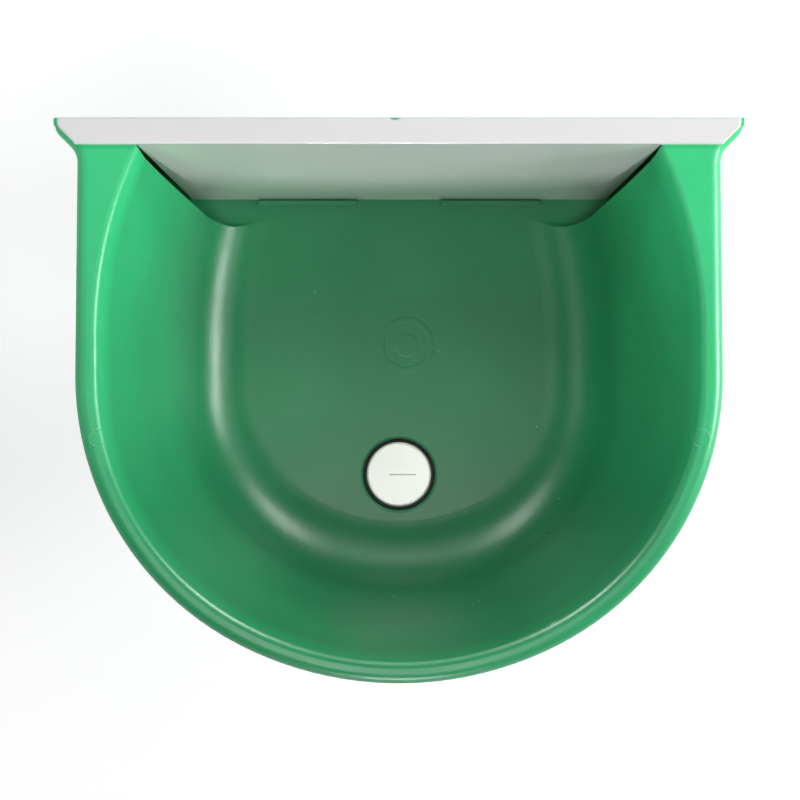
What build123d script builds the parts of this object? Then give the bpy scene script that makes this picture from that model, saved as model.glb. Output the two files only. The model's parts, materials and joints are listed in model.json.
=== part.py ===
from build123d import *
import math
import os

# Wall-hung float drinking bowl for livestock, in millimetres.
# The origin is the middle of the four wall bolts, on the wall plane (Y = 0).
# +Z is up, +Y points into the wall, and the bowl stands out towards -Y.

# ---------------------------------------------------------------- bowl
RIM_Z = 62.0  # top of the rim above the bolt centre
BOWL_DEPTH = 112.0  # rim to inner floor
WALL = 4.0  # moulded wall thickness
HALF_WIDTH = 166.5  # outside of the rim at its widest
SIDE_TAPER = 1.5  # how much narrower the rim is near the wall, each side
REACH = 290.5  # wall plane to the front of the rim
SHOULDER_INSET = 11.5  # half width less the shoulders' plan radius
FRONT_EASE = 25.0  # the front's plan radius is this much larger than the shoulders'
LIP_WIDTH = 11.0  # rim lip, inner edge to outside
LIP_SKIRT = 15.0  # how far the lip turns down
SKIRT_WALL = 3.0
LIP_ROUND = 6.0
RIM_ROUND = 4.0  # inner edge of the rim
BACK_RADIUS = 216.0  # the mouth closes in towards the wall on this radius
FLOOR_SIDE_INSET = 61.5  # rim's widest to the floor's widest, each side
FLOOR_FRONT_INSET = 50.5  # rim's front to the floor's front
FLOOR_SHOULDER_INSET = 10.0
FLOOR_BACK_RADIUS = 300.0
FLOOR_ROUND = 37.0  # wall to floor, inside
CAVITY_BACK_Y = -9.0
GUSSET_THICK = 3.0
GUSSET_BELOW_RIM = 13.0
GUSSET_ANGLES = (-68, -44, -20, 20, 44, 68)

# ---------------------------------------------------------------- float chamber
CHAMBER_SIDE_INSET = 31.5  # rim's widest to the chamber's end, each side
CHAMBER_TOP_Y = -16.4  # front of the chamber at the rim
CHAMBER_FLOOR_Y = -52.3  # front of the chamber at the floor
CHAMBER_ROUND = 5.0

# ---------------------------------------------------------------- wall plate
PLATE_CORNER = 22.0
FLARE_OUT = 11.5  # the rim turns out this far to the plate's edge, at half a right angle
FLARE_END_Y = -6.5
FLARE_ROUND = 11.0
FLARE_TIP_ROUND = 8.0
BOLT_SPACING_X = 310.0
BOLT_SPACING_Z = 64.0
BOLT_HOLE_R = 4.5
BOLT_PAD_R = 11.0
BOLT_PAD_HEIGHT = 2.0
PLATE_RIB_THICK = 3.0
PLATE_RIB_REACH = 26.0
PLATE_RIB_SPREAD = 32.0

# ---------------------------------------------------------------- cover
COVER_WALL = 2.5
COVER_TOP_Y = -13.8  # front edge of the lid
COVER_FOOT_Y = -35.4  # front of the apron at the floor
COVER_FOOT_GAP = 0.6
APRON_END_CLEARANCE = 1.1  # apron's top corner to the chamber's end
APRON_TAPER = 19.4  # how much narrower the apron's foot is, each side
COVER_EDGE_ROUND = 1.2
COVER_SIDE_MARGIN = 1.8  # lid edge to the rim's outside
COVER_BACK_GAP = 0.4  # lid edge to the wall
COVER_RIB_XS = (-110, -66, -22, 22, 66, 110)
COVER_RIB_THICK = 1.8
COVER_RIB_DROP = 10.0
THUMB_NOTCH_X = -2.0
THUMB_NOTCH_R = 5.0
THUMB_NOTCH_DEPTH = 1.0
RIB_INNER_X = 23.0  # key ribs on the floor under the apron
RIB_LENGTH = 55.0
RIB_HEIGHT = 3.6
RIB_THICK = 2.4
KEY_CLEARANCE = 0.5

# ---------------------------------------------------------------- drain
DRAIN_INSET = 102.5  # rim's front to the drain's axis
DRAIN_HOLE_R = 20.0
DRAIN_CHAMFER = 1.2
DRAIN_BOSS_R = 27.0
DRAIN_BOSS_HEIGHT = 14.0  # below the floor's underside
DRAIN_LEDGE = 3.0  # floor's underside down to where the thread bore starts
DRAIN_THREAD_R = 21.0
THREAD_CLEARANCE = 0.1
PLUG_END_R = 18.0
PLUG_END_DROP = 1.0  # end face below the bowl floor
PLUG_FLANGE_R = 26.0
PLUG_FLANGE_THICK = 4.0
PLUG_RECESS_R = 16.5
PLUG_SKIN = 4.0
PLUG_CHAMFER = 1.0
DRAIN_RING_CORD_R = 0.95
DRAIN_RING_DROP = 2.6  # middle of the ring below the plug's end face
GRIP_THICK = 6.0
GRIP_DROP = 5.0
DRAIN_GASKET_THICK = 2.0
GASKET_MARGIN = 0.5

# ---------------------------------------------------------------- valve
VALVE_X = 84.0
TAIL_Y = -17.8
HEAD_Y = -10.4
TAIL_R = 10.475  # G 1/2 external thread
TAIL_HOLE_CLEARANCE = 0.275
TAIL_BELOW_FLOOR = 24.0
TAIL_GROOVE = 2.0  # run-out groove under the nut
TAIL_GROOVE_DEPTH = 0.9
TAIL_BORE_R = 6.0
FLANGE_R = 13.2
FLANGE_THICK = 4.0
INLET_GASKET_THICK = 2.0
COLLAR_R = 9.0
COLLAR_HEIGHT = 6.0
RISER_R = 6.0
RISER_BORE_R = 3.0
HEAD_Z = 2.0
HEAD_HEIGHT = 18.0
HEAD_WIDTH = 18.0
HEAD_DEPTH = 11.4
HEAD_ROUND = 2.5
VALVE_BORE_R = 4.2
VALVE_BORE_FLOOR = 2.0  # metal under the seat
WASHER_THICK = 2.0
WASHER_R = 14.0
NUT_ACROSS_FLATS = 27.0
NUT_HEIGHT = 8.0
FIT = 0.05
SEAT_HEIGHT = 5.0
NOZZLE_R = 2.0
NOZZLE_FOOT_R = 2.7
NOZZLE_HEIGHT = 1.5
ORIFICE_R = 1.25
SEAL_CORD_R = 0.45
SEAL_RING_R = 3.68
SEAL_GROOVE_R = 3.2
SEAL_GROOVE_WIDTH = 1.4
STRAINER_LENGTH = 12.0
STRAINER_WALL = 0.9
STRAINER_RIM_R = 8.5
STRAINER_RIM = 1.0
STRAINER_SLOTS = 4
STRAINER_SLOT_WIDTH = 1.2
OUTLET_TUBE_R = 3.0
OUTLET_TUBE_BORE_R = 2.0
OUTLET_REACH = 17.0  # valve axis to the tube's vertical run
OUTLET_BEND = 6.0
OUTLET_DROP = 40.0
OUTLET_SOCKET = 3.0

# ---------------------------------------------------------------- plunger
PAD_R = 3.0
PAD_THICK = 2.0
PLUNGER_HEIGHT = 9.1
PLUNGER_STEM_R = 2.5
PLUNGER_STEM = 4.0
RUNNING = 0.1

# ---------------------------------------------------------------- lever and float
PIVOT_X = 68.0
PIVOT_Z = 24.5
LEVER_DROP_DEG = 10.0  # empty bowl: the float hangs this far down
LEVER_THICK = 4.8
LEVER_HALF = 4.0  # half its height at the pivot
LEVER_GAP = 0.25
EAR_THICK = 2.2
EAR_WIDTH = 12.0
STOP_GAP = 0.35
PIN_R = 1.5
PIN_HEAD_R = 2.6
PIN_HEAD = 0.8
PIN_TAIL = 0.4
PIN_GROOVE_R = 1.1
CLIP_R = 3.4
CLIP_THICK = 0.6
CLIP_MOUTH = 2.0
SCREW_BOSS_R = 4.5
SCREW_BOSS_HEIGHT = 5.0
SCREW_BOSS_Z = 27.0
ADJUST_R = 2.0
ADJUST_TIP_GAP = 0.3
ADJUST_NUT_FLATS = 7.0
ADJUST_NUT_HEIGHT = 2.6
ADJUST_STANDOUT = 4.0
ADJUST_HEAD_R = 3.4
ADJUST_HEAD = 2.2
DRIVE_WIDTH = 0.9
DRIVE_DEPTH = 1.0
FOOT_START_X = -38.0
FOOT_END_X = 16.0
FOOT_WIDTH = 9.0
FOOT_THICK = 2.5
ARM_ROOT_HEIGHT = 8.0
ARM_TIP_HEIGHT = 5.0
FLOAT_START_X = -66.0
FLOAT_LENGTH = 100.0
FLOAT_TOP_Z = 16.0
FLOAT_FLOOR_GAP = 28.0  # float's foot above the bowl's floor with the lever level
FLOAT_BACK_Y = -5.5
FLOAT_TOP_THICK = 11.5
FLOAT_FOOT_THICK = 18.5
FLOAT_ROUND = 3.5
FLOAT_SCREW_XS = {"left": -32.0, "right": 8.0}
FLOAT_SCREW_R = 1.75
FLOAT_SCREW_HEAD_R = 3.2
FLOAT_SCREW_HEAD = 2.2
FLOAT_SCREW_POCKET = 0.4
FLOAT_SCREW_LENGTH = 12.0

# ---------------------------------------------------------------- worked out
BACK_HALF_WIDTH = HALF_WIDTH - SIDE_TAPER
SIDE_RADIUS = HALF_WIDTH - SHOULDER_INSET
FRONT_RADIUS = SIDE_RADIUS + FRONT_EASE
FLOOR_HALF_WIDTH = HALF_WIDTH - FLOOR_SIDE_INSET
FLOOR_FRONT_Y = FLOOR_FRONT_INSET - REACH
FLOOR_SIDE_RADIUS = FLOOR_HALF_WIDTH - FLOOR_SHOULDER_INSET
FLOOR_FRONT_RADIUS = FLOOR_SIDE_RADIUS + FRONT_EASE
PLATE_HALF_WIDTH = BACK_HALF_WIDTH + FLARE_OUT
FLARE_Y = FLARE_END_Y - FLARE_OUT
CHAMBER_HALF_WIDTH = HALF_WIDTH - CHAMBER_SIDE_INSET
APRON_TOP_HALF = CHAMBER_HALF_WIDTH - APRON_END_CLEARANCE
APRON_FOOT_HALF = APRON_TOP_HALF - APRON_TAPER
DRAIN_Y = DRAIN_INSET - REACH
FLOOR_Z = RIM_Z - BOWL_DEPTH
UNDER_Z = FLOOR_Z - WALL
BACK_FACE_Y = -WALL
CHAMBER_SLOPE = (CHAMBER_TOP_Y - CHAMBER_FLOOR_Y) / BOWL_DEPTH
COVER_SLOPE = (COVER_TOP_Y - COVER_FOOT_Y) / BOWL_DEPTH
BORE_Z = HEAD_Z + VALVE_BORE_FLOOR
NOZZLE_TIP_Z = BORE_Z + SEAT_HEIGHT + NOZZLE_HEIGHT
PLUNGER_ARM = VALVE_X - PIVOT_X
PLUNGER_LIFT = PLUNGER_ARM * math.sin(math.radians(LEVER_DROP_DEG))
PLUNGER_TOP_Z = NOZZLE_TIP_Z + FIT + PAD_THICK / 2 + PLUNGER_HEIGHT + PLUNGER_STEM
DRAIN_SEAT_Z = UNDER_Z - DRAIN_BOSS_HEIGHT
OUTLET_Z = BORE_Z + SEAT_HEIGHT + OUTLET_TUBE_BORE_R
OUTLET_START_X = VALVE_X + HEAD_WIDTH / 2 - OUTLET_SOCKET
EAR_DEPTH = LEVER_THICK / 2 + LEVER_GAP + EAR_THICK  # half the width over both ears


def rod(x, y, low, high, radius):
    """A vertical cylinder between two heights."""
    return Pos(x, y, (low + high) / 2) * Cylinder(radius, high - low)


def tube(x, y, low, high, outer, inner):
    return rod(x, y, low, high, outer) - rod(x, y, low - 1, high + 1, inner)


def block(low, high):
    """A box between two corners."""
    middle = [(a + b) / 2 for a, b in zip(low, high)]
    return Pos(*middle) * Box(*[b - a for a, b in zip(low, high)])


def hexagon_prism(x, y, low, height, across_flats):
    flat = RegularPolygon(across_flats / 2, 6, major_radius=False)
    return Pos(x, y, low) * extrude(flat, height)


def mirrored(shape):
    """The shape and its copy on the other side of the middle plane."""
    return shape + mirror(shape, Plane.YZ)


def mouth_outline(half_width, front_y, side_r, front_r, back_r, back_y, z):
    """A closed plan outline of the bowl's hollow: front arc, shoulders, and sides that close in."""
    turn = math.asin((half_width - side_r) / (front_r - side_r))
    front_c = front_y + front_r
    side_cx = half_width - side_r
    side_cy = front_c - (front_r - side_r) * math.cos(turn)

    def on_side(angle):
        return (side_cx + side_r * math.sin(angle), side_cy - side_r * math.cos(angle))

    def on_back(y):
        return (half_width - back_r + math.sqrt(back_r**2 - (y - front_c) ** 2), y)

    front = (0, front_y)
    joint = on_side(turn)
    shoulder = on_side((turn + math.pi / 2) / 2)
    side = (half_width, side_cy)
    tangent = (half_width, front_c)
    back_mid = on_back((front_c + back_y) / 2)
    back = on_back(back_y)

    def at(p, sign=1):
        return (sign * p[0], p[1], z)

    return Wire(
        [
            ThreePointArc(at(joint, -1), at(front), at(joint)),
            ThreePointArc(at(joint), at(shoulder), at(side)),
            Line(at(side), at(tangent)),
            ThreePointArc(at(tangent), at(back_mid), at(back)),
            Line(at(back), at(back, -1)),
            ThreePointArc(at(back, -1), at(back_mid, -1), at(tangent, -1)),
            Line(at(tangent, -1), at(side, -1)),
            ThreePointArc(at(side, -1), at(shoulder, -1), at(joint, -1)),
        ]
    )


def hollow(grow, top_z, floor_z):
    """The bowl's tapering hollow, or with grow its outside skin, with a rounded floor edge."""
    top = mouth_outline(
        HALF_WIDTH - LIP_WIDTH + grow,
        -REACH + LIP_WIDTH - grow,
        SIDE_RADIUS - LIP_WIDTH + grow,
        FRONT_RADIUS - LIP_WIDTH + grow,
        BACK_RADIUS + grow,
        CAVITY_BACK_Y,
        top_z,
    )
    floor = mouth_outline(
        FLOOR_HALF_WIDTH + grow,
        FLOOR_FRONT_Y - grow,
        FLOOR_SIDE_RADIUS + grow,
        FLOOR_FRONT_RADIUS + grow,
        FLOOR_BACK_RADIUS + grow,
        CAVITY_BACK_Y,
        floor_z,
    )
    solid = Solid.make_loft([floor, top], ruled=True)
    edges = solid.edges().filter_by(lambda e: abs(e.center().Z - floor_z) < 0.01)
    edges = [e for e in edges if e.center().Y < CAVITY_BACK_Y - 0.01]
    return Part() + fillet(edges, FLOOR_ROUND + grow)


def chamber_prism(grow, top_z):
    """The float chamber behind the bowl, or with grow its outside."""
    lean = grow * math.hypot(1, CHAMBER_SLOPE)
    floor_z = FLOOR_Z - grow
    floor_y = CHAMBER_FLOOR_Y - lean - grow * CHAMBER_SLOPE
    top_y = CHAMBER_TOP_Y - lean + (top_z - RIM_Z) * CHAMBER_SLOPE
    back_y = BACK_FACE_Y + grow
    side = Polyline(
        (0, back_y, floor_z),
        (0, floor_y, floor_z),
        (0, top_y, top_z),
        (0, back_y, top_z),
        close=True,
    )
    prism = extrude(make_face(side), CHAMBER_HALF_WIDTH + grow, dir=(1, 0, 0), both=True)

    def is_rounded(edge):
        at = edge.center()
        on_end = abs(abs(at.X) - CHAMBER_HALF_WIDTH - grow) < 0.01
        along_floor = abs(at.X) < 0.01 and abs(at.Z - floor_z) < 0.01
        clear_of_ends = at.Z < top_z - 0.01 and at.Y < back_y - 0.01
        return clear_of_ends and (on_end or along_floor)

    return fillet(prism.edges().filter_by(is_rounded), CHAMBER_ROUND + grow)


def rim_outline():
    """Outside of the rim, with the flares that run into the wall plate."""
    turn = math.asin((HALF_WIDTH - SIDE_RADIUS) / (FRONT_RADIUS - SIDE_RADIUS))
    side_cx = HALF_WIDTH - SIDE_RADIUS
    side_cy = FRONT_RADIUS - REACH - (FRONT_RADIUS - SIDE_RADIUS) * math.cos(turn)

    def on_side(angle, sign):
        across = side_cx + SIDE_RADIUS * math.sin(angle)
        return (sign * across, side_cy - SIDE_RADIUS * math.cos(angle))

    edges = [ThreePointArc(on_side(turn, -1), (0, -REACH), on_side(turn, 1))]
    for s in (1, -1):
        mid = on_side((turn + math.pi / 2) / 2, s)
        widest = (s * HALF_WIDTH, side_cy)
        edges.append(ThreePointArc(on_side(turn, s), mid, widest))
        flare = FilletPolyline(
            widest,
            (s * BACK_HALF_WIDTH, FLARE_Y),
            (s * PLATE_HALF_WIDTH, FLARE_END_Y),
            (s * PLATE_HALF_WIDTH, 0),
            radius=[FLARE_ROUND, FLARE_TIP_ROUND],
        )
        edges += flare.edges()
    edges.append(Line((PLATE_HALF_WIDTH, 0), (-PLATE_HALF_WIDTH, 0)))
    return make_face(Wire(edges))


def rim_lip():
    """The turned-down lip, open underneath."""
    low = RIM_Z - LIP_SKIRT
    lip = Pos(0, 0, low) * extrude(rim_outline(), LIP_SKIRT)
    outer = [
        e
        for e in lip.edges()
        if abs(e.center().Z - RIM_Z) < 0.01 and e.center().Y < BACK_FACE_Y - 0.01
    ]
    lip = fillet(outer, LIP_ROUND)
    inside = offset(rim_outline(), -SKIRT_WALL, kind=Kind.INTERSECTION)
    inside = Pos(0, 0, low) * extrude(inside, LIP_SKIRT - WALL)
    behind = block((-PLATE_HALF_WIDTH, BACK_FACE_Y, low - 1), (PLATE_HALF_WIDTH, 1, RIM_Z))
    return lip - (inside - behind)


def wall_plate():
    half = PLATE_HALF_WIDTH
    plate = block((-half, BACK_FACE_Y, UNDER_Z), (half, 0, RIM_Z))
    corners = [
        e
        for e in plate.edges().filter_by(Axis.Y)
        if abs(e.center().Z - UNDER_Z) < 0.01
    ]
    plate = fillet(corners, PLATE_CORNER)
    for x in (-BOLT_SPACING_X / 2, BOLT_SPACING_X / 2):
        for z in (-BOLT_SPACING_Z / 2, BOLT_SPACING_Z / 2):
            pad = Rot(90, 0, 0) * Cylinder(BOLT_PAD_R, BOLT_PAD_HEIGHT + WALL)
            plate += Pos(x, -(BOLT_PAD_HEIGHT + WALL) / 2, z) * pad
    return plate


def plate_ribs():
    """Webs from the wall plate to the chamber's end, between the bolts and at the foot."""
    inner = CHAMBER_HALF_WIDTH + WALL / 2
    profile = Polyline(
        (inner, BACK_FACE_Y / 2),
        (inner, -PLATE_RIB_SPREAD),
        (inner + PLATE_RIB_REACH, BACK_FACE_Y / 2),
        close=True,
    )
    web = extrude(make_face(profile), PLATE_RIB_THICK)
    foot_z = UNDER_Z + CHAMBER_ROUND + WALL
    return mirrored(Pos(0, 0, -PLATE_RIB_THICK / 2) * web + Pos(0, 0, foot_z) * web)


def bolt_holes():
    drill = Rot(90, 0, 0) * Cylinder(BOLT_HOLE_R, 6 * WALL)
    xs = (-BOLT_SPACING_X / 2, BOLT_SPACING_X / 2)
    zs = (-BOLT_SPACING_Z / 2, BOLT_SPACING_Z / 2)
    return [Pos(x, 0, z) * drill for x in xs for z in zs]


def gussets():
    """Thin webs under the lip, between the skirt and the bowl's skin."""
    centre_y = FRONT_RADIUS - REACH
    inner = SIDE_RADIUS - 3 * LIP_WIDTH
    made = []
    for angle in GUSSET_ANGLES:
        reach = FRONT_RADIUS - inner
        web = block(
            (-GUSSET_THICK / 2, -FRONT_RADIUS, RIM_Z - GUSSET_BELOW_RIM),
            (GUSSET_THICK / 2, -FRONT_RADIUS + reach, RIM_Z - WALL / 2),
        )
        made.append(Pos(0, centre_y, 0) * Rot(0, 0, angle) * web)
    return made


def make_bowl():
    skin = hollow(WALL, RIM_Z, UNDER_Z)
    inside = hollow(0, RIM_Z, FLOOR_Z)
    chamber = chamber_prism(0, RIM_Z)
    lip = rim_lip()
    under_lip = Pos(0, 0, RIM_Z - GUSSET_BELOW_RIM) * extrude(
        offset(rim_outline(), -SKIRT_WALL / 2), GUSSET_BELOW_RIM - WALL / 2
    )
    body = skin + chamber_prism(WALL, RIM_Z) + lip + wall_plate()
    for web in gussets():
        body += web & under_lip
    body += plate_ribs()
    body += rod(0, DRAIN_Y, DRAIN_SEAT_Z, FLOOR_Z - WALL / 2, DRAIN_BOSS_R)
    body = body - inside - chamber
    body -= rod(0, DRAIN_Y, UNDER_Z - DRAIN_LEDGE - 1, FLOOR_Z + 1, DRAIN_HOLE_R)
    body -= rod(0, DRAIN_Y, DRAIN_SEAT_Z - 1, UNDER_Z - DRAIN_LEDGE, DRAIN_THREAD_R)
    mouth_z = FLOOR_Z - DRAIN_CHAMFER / 2
    body -= Pos(0, DRAIN_Y, mouth_z) * Cone(DRAIN_HOLE_R, DRAIN_HOLE_R + DRAIN_CHAMFER, DRAIN_CHAMFER)
    body -= rod(VALVE_X, TAIL_Y, UNDER_Z - 1, FLOOR_Z + 1, TAIL_R + TAIL_HOLE_CLEARANCE)
    for hole in bolt_holes():
        body -= hole
    rib_y = COVER_FOOT_Y - KEY_CLEARANCE - RIB_THICK / 2
    rib = block(
        (RIB_INNER_X, rib_y - RIB_THICK / 2, FLOOR_Z - 1),
        (RIB_INNER_X + RIB_LENGTH, rib_y + RIB_THICK / 2, FLOOR_Z + RIB_HEIGHT),
    )
    body += mirrored(rib)
    return fillet(mouth_edges(body), RIM_ROUND)


def mouth_edges(body):
    """The rim's inner edge, all round the mouth in front of the chamber."""
    half = HALF_WIDTH - LIP_WIDTH + 0.01
    front = -REACH + LIP_WIDTH - 0.01

    def is_mouth(edge):
        at = edge.center()
        level = abs(at.Z - RIM_Z) < 0.01 and edge.bounding_box().size.Z < 0.01
        return level and abs(at.X) < half and front < at.Y < CHAMBER_TOP_Y - 0.01

    return body.edges().filter_by(is_mouth)


def at_height(z):
    """Y of the apron's front face at a height."""
    return COVER_FOOT_Y + COVER_SLOPE * (z - FLOOR_Z)


def make_cover():
    top_z = RIM_Z + COVER_WALL
    back_y = -COVER_BACK_GAP
    outline = offset(rim_outline(), -COVER_SIDE_MARGIN)
    lid = Pos(0, COVER_SIDE_MARGIN + back_y, RIM_Z) * extrude(outline, COVER_WALL)
    lid &= block((-PLATE_HALF_WIDTH, COVER_TOP_Y, RIM_Z), (PLATE_HALF_WIDTH, back_y, top_z))
    foot_z = FLOOR_Z + COVER_FOOT_GAP
    behind = COVER_WALL * math.hypot(1, COVER_SLOPE)
    section = Polyline(
        (0, at_height(foot_z), foot_z),
        (0, COVER_TOP_Y, RIM_Z),
        (0, COVER_TOP_Y, top_z),
        (0, COVER_TOP_Y + behind, top_z),
        (0, at_height(foot_z) + behind, foot_z),
        close=True,
    )
    slab = extrude(make_face(section), APRON_TOP_HALF + 1, dir=(1, 0, 0), both=True)
    front = Polyline(
        (-APRON_FOOT_HALF, 0, foot_z),
        (APRON_FOOT_HALF, 0, foot_z),
        (APRON_TOP_HALF, 0, RIM_Z),
        (APRON_TOP_HALF, 0, top_z),
        (-APRON_TOP_HALF, 0, top_z),
        (-APRON_TOP_HALF, 0, RIM_Z),
        close=True,
    )
    apron = slab & extrude(make_face(front), -COVER_FOOT_Y + WALL, dir=(0, -1, 0))
    cover = lid + apron
    for x in COVER_RIB_XS:
        web = Polyline(
            (x, at_height(RIM_Z - COVER_RIB_DROP) + behind / 2, RIM_Z - COVER_RIB_DROP),
            (x, COVER_TOP_Y + behind / 2, RIM_Z + COVER_WALL / 2),
            (x, BACK_FACE_Y - COVER_WALL, RIM_Z + COVER_WALL / 2),
            (x, BACK_FACE_Y - COVER_WALL, RIM_Z - COVER_WALL),
            close=True,
        )
        cover += extrude(make_face(web), COVER_RIB_THICK / 2, dir=(1, 0, 0), both=True)
    upper = [
        e
        for e in cover.edges()
        if abs(e.center().Z - top_z) < 0.01
        and e.center().Y < back_y - 0.01
    ]
    cover = fillet(upper, COVER_EDGE_ROUND)
    notch_y = back_y + THUMB_NOTCH_R - THUMB_NOTCH_DEPTH
    return cover - rod(THUMB_NOTCH_X, notch_y, RIM_Z - 1, top_z + 1, THUMB_NOTCH_R)


def make_drain_gasket():
    outer = PLUG_FLANGE_R - GASKET_MARGIN
    return tube(0, DRAIN_Y, DRAIN_SEAT_Z - DRAIN_GASKET_THICK, DRAIN_SEAT_Z, outer, DRAIN_THREAD_R)


def make_drain_plug():
    seat = DRAIN_SEAT_Z - DRAIN_GASKET_THICK
    low = seat - PLUG_FLANGE_THICK
    shoulder = UNDER_Z - DRAIN_LEDGE - PLUG_END_DROP
    end = FLOOR_Z - PLUG_END_DROP
    plug = rod(0, DRAIN_Y, low, seat, PLUG_FLANGE_R)
    plug += rod(0, DRAIN_Y, seat, shoulder, DRAIN_THREAD_R - THREAD_CLEARANCE)
    plug += rod(0, DRAIN_Y, shoulder, end, PLUG_END_R)
    plug = chamfer(plug.edges().sort_by(Axis.Z)[-1], PLUG_CHAMFER)
    plug = fillet(plug.edges().sort_by(Axis.Z)[0], PLUG_CHAMFER)
    plug -= rod(0, DRAIN_Y, low - 1, end - PLUG_SKIN, PLUG_RECESS_R)
    grip_half = (PLUG_RECESS_R + PLUG_END_R) / 2
    grip = block(
        (-grip_half, DRAIN_Y - GRIP_THICK / 2, low - GRIP_DROP),
        (grip_half, DRAIN_Y + GRIP_THICK / 2, end - PLUG_SKIN / 2),
    )
    low_edges = grip.edges().filter_by(lambda e: abs(e.center().Z - low + GRIP_DROP) < 0.01)
    return plug + fillet(low_edges, GRIP_THICK / 3)


def make_drain_ring():
    """Seal ring round the plug's nose, in the gap that the floor's hole leaves."""
    middle = FLOOR_Z - PLUG_END_DROP - DRAIN_RING_DROP
    return Pos(0, DRAIN_Y, middle) * Torus((DRAIN_HOLE_R + PLUG_END_R) / 2, DRAIN_RING_CORD_R)


def make_inlet_gasket():
    low = FLOOR_Z
    outer = FLANGE_R - GASKET_MARGIN
    return tube(VALVE_X, TAIL_Y, low, low + INLET_GASKET_THICK, outer, TAIL_R + TAIL_HOLE_CLEARANCE)


def make_inlet_washer():
    return tube(VALVE_X, TAIL_Y, UNDER_Z - WASHER_THICK, UNDER_Z, WASHER_R, TAIL_R + TAIL_HOLE_CLEARANCE)


def make_inlet_nut():
    low = UNDER_Z - WASHER_THICK - NUT_HEIGHT
    nut = hexagon_prism(VALVE_X, TAIL_Y, low, NUT_HEIGHT, NUT_ACROSS_FLATS)
    nut &= rod(VALVE_X, TAIL_Y, low, low + NUT_HEIGHT, NUT_ACROSS_FLATS / 2 / math.cos(math.radians(22)))
    return nut - rod(VALVE_X, TAIL_Y, low - 1, low + NUT_HEIGHT + 1, TAIL_R + FIT)


def leaning_riser(radius, low, high):
    """A round column from the tail's axis to the head's axis."""
    foot = Pos(VALVE_X, TAIL_Y, low) * Circle(radius)
    top = Pos(VALVE_X, HEAD_Y, high) * Circle(radius)
    return loft([foot, top])


def head_block():
    head = block(
        (VALVE_X - HEAD_WIDTH / 2, HEAD_Y - HEAD_DEPTH / 2, HEAD_Z),
        (VALVE_X + HEAD_WIDTH / 2, HEAD_Y + HEAD_DEPTH / 2, HEAD_Z + HEAD_HEIGHT),
    )
    return fillet(head.edges().filter_by(Axis.Z), HEAD_ROUND)


def pivot_ears():
    """Two plates with the pin's bore, on a bracket that also stops the dropped lever."""
    depth = EAR_DEPTH
    left = PIVOT_X - EAR_WIDTH / 2
    right = VALVE_X - HEAD_WIDTH / 2 + HEAD_ROUND
    base_z = HEAD_Z + HEAD_HEIGHT / 3
    drop = math.radians(LEVER_DROP_DEG)
    arm_lean = math.atan2(PIVOT_Z - LEVER_HALF - FLOAT_TOP_Z, PIVOT_X - FOOT_END_X)
    reach = EAR_WIDTH / 2 + LEVER_HALF * math.sin(drop)
    underside = PIVOT_Z - LEVER_HALF * math.cos(drop) - reach * math.tan(drop + arm_lean)
    stop_z = underside - STOP_GAP
    side = Polyline(
        (left, 0, base_z + EAR_WIDTH / 3),
        (left + EAR_WIDTH / 3, 0, base_z),
        (right, 0, base_z),
        (right, 0, PIVOT_Z),
        (left, 0, PIVOT_Z),
        close=True,
    )
    ear = extrude(make_face(side), depth, dir=(0, 1, 0), both=True)
    ear += Pos(PIVOT_X, 0, PIVOT_Z) * Rot(90, 0, 0) * Cylinder(EAR_WIDTH / 2, 2 * depth)
    slot_half = LEVER_THICK / 2 + LEVER_GAP
    ear -= block((left - 1, -slot_half, stop_z), (right + 1, slot_half, PIVOT_Z + EAR_WIDTH))
    ear -= Pos(PIVOT_X, 0, PIVOT_Z) * Rot(90, 0, 0) * Cylinder(PIN_R + FIT, 4 * depth)
    return Pos(0, HEAD_Y, 0) * ear


def make_valve_body():
    flange_low = FLOOR_Z + INLET_GASKET_THICK
    flange_top = flange_low + FLANGE_THICK
    collar_top = flange_top + COLLAR_HEIGHT
    body = rod(VALVE_X, TAIL_Y, UNDER_Z - TAIL_BELOW_FLOOR, flange_low, TAIL_R)
    groove_top = UNDER_Z - WASHER_THICK - NUT_HEIGHT
    groove_low = groove_top - TAIL_GROOVE
    body -= tube(VALVE_X, TAIL_Y, groove_low, groove_top, FLANGE_R, TAIL_R - TAIL_GROOVE_DEPTH)
    body += rod(VALVE_X, TAIL_Y, flange_low, flange_top, FLANGE_R)
    body += rod(VALVE_X, TAIL_Y, flange_top, collar_top, COLLAR_R)
    body += leaning_riser(RISER_R, collar_top - 1, HEAD_Z + 1)
    body += head_block() + pivot_ears()
    body -= rod(VALVE_X, TAIL_Y, UNDER_Z - TAIL_BELOW_FLOOR - 1, flange_low, TAIL_BORE_R)
    body -= leaning_riser(RISER_BORE_R, flange_low - 1, BORE_Z + 1)
    body -= rod(VALVE_X, HEAD_Y, BORE_Z, HEAD_Z + HEAD_HEIGHT + 1, VALVE_BORE_R)
    body -= outlet_rod(OUTLET_TUBE_BORE_R, VALVE_X)
    return body - outlet_rod(OUTLET_TUBE_R, OUTLET_START_X)


def outlet_rod(radius, start_x):
    """A level cylinder on the outlet's axis, from a place inside the head to the bend."""
    end_x = VALVE_X + OUTLET_REACH - OUTLET_BEND
    length = end_x - start_x
    return Pos(start_x + length / 2, HEAD_Y, OUTLET_Z) * Rot(0, 90, 0) * Cylinder(radius, length)


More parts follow.
